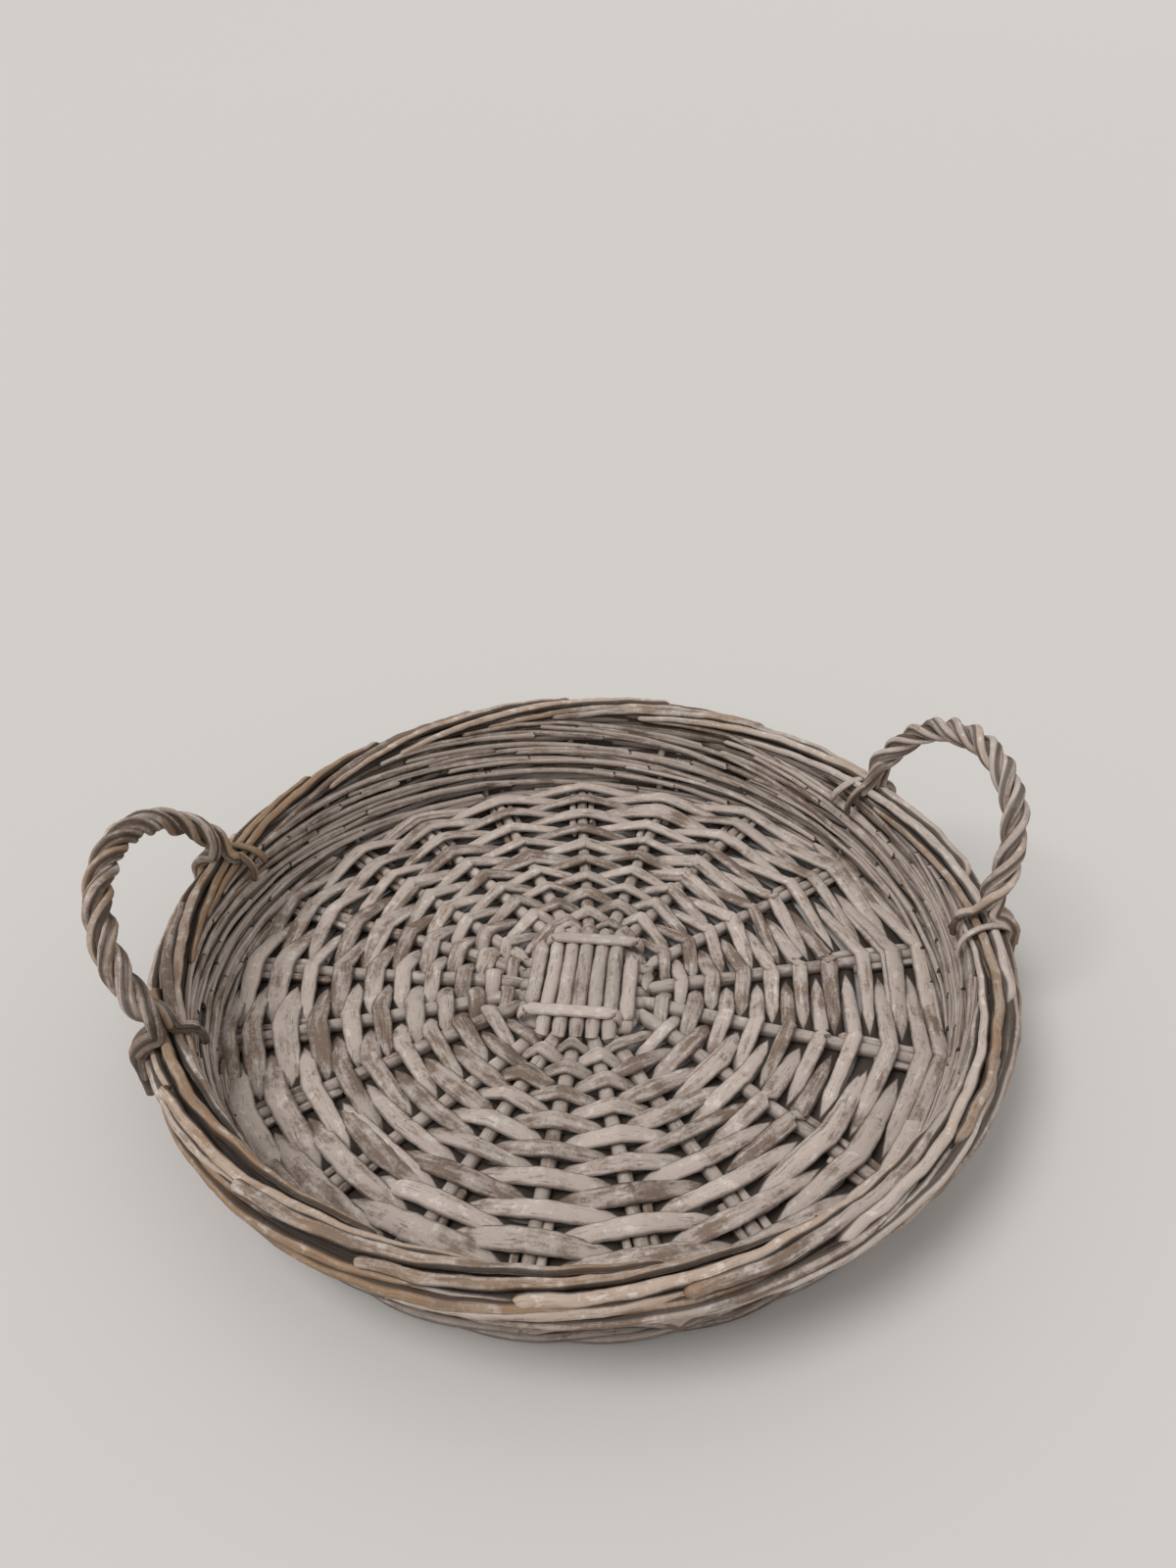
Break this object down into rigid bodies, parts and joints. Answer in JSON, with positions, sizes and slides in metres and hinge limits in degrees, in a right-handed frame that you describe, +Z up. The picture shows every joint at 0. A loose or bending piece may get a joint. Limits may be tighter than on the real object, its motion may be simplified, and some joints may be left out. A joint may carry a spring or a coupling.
{
  "type": "wicker tray",
  "caption": "Round shallow willow tray with a woven flat base, low woven wall, rolled border and twisted rope handles at both sides, for carrying or holding things.",
  "frame": {"origin": "middle of the base on its underside, where the cross of base sticks rests", "axes": "+Z up, +X to the right from the left handle towards the right handle, +Y along the upper base sticks, away from the viewer"},
  "size_m": [0.3538, 0.3361, 0.0973],
  "materials": {
    "base_stick": "whitewashed round willow",
    "base_weaver": "whitewashed split willow",
    "wall_rod": "whitewashed thin willow, dark between the rows",
    "border_rod": "willow worn brown through a thin whitewash",
    "handle_rope": "twisted willow worn brown through a thin whitewash"
  },
  "bodies": {
    "root": {"base_stick_over_1": "base_stick", "base_stick_over_2": "base_stick", "base_stick_over_3": "base_stick", "base_stick_over_4": "base_stick", "base_stick_over_5": "base_stick", "base_stick_under_1": "base_stick", "base_stick_under_2": "base_stick", "base_stick_under_3": "base_stick", "base_stick_under_4": "base_stick", "base_stick_under_5": "base_stick", "base_weaver_1": "base_weaver", "base_weaver_2": "base_weaver", "base_weaver_3": "base_weaver", "base_weaver_4": "base_weaver", "base_weaver_5": "base_weaver", "base_weaver_6": "base_weaver", "foot_rod_1": "wall_rod", "foot_rod_2": "wall_rod", "handle_left_strand_1": "handle_rope", "handle_left_strand_2": "handle_rope", "handle_left_strand_3": "handle_rope", "handle_right_strand_1": "handle_rope", "handle_right_strand_2": "handle_rope", "handle_right_strand_3": "handle_rope", "slath_bar_far": "base_weaver", "slath_bar_left": "base_weaver", "slath_bar_near": "base_weaver", "slath_bar_right": "base_weaver", "stake_01": "border_rod", "stake_02": "border_rod", "stake_03": "border_rod", "stake_04": "border_rod", "stake_05": "border_rod", "stake_06": "border_rod", "stake_07": "border_rod", "stake_08": "border_rod", "stake_09": "border_rod", "stake_10": "border_rod", "stake_11": "border_rod", "stake_12": "border_rod", "stake_13": "border_rod", "stake_14": "border_rod", "stake_15": "border_rod", "stake_16": "border_rod", "stake_17": "border_rod", "stake_18": "border_rod", "stake_19": "border_rod", "wall_weaver_1": "wall_rod", "wall_weaver_2": "wall_rod", "wall_weaver_3": "wall_rod", "wall_weaver_4": "wall_rod", "wall_weaver_5": "wall_rod", "wall_weaver_6": "wall_rod", "wall_weaver_7": "wall_rod", "wall_weaver_8": "wall_rod"}
  },
  "joints": []
}
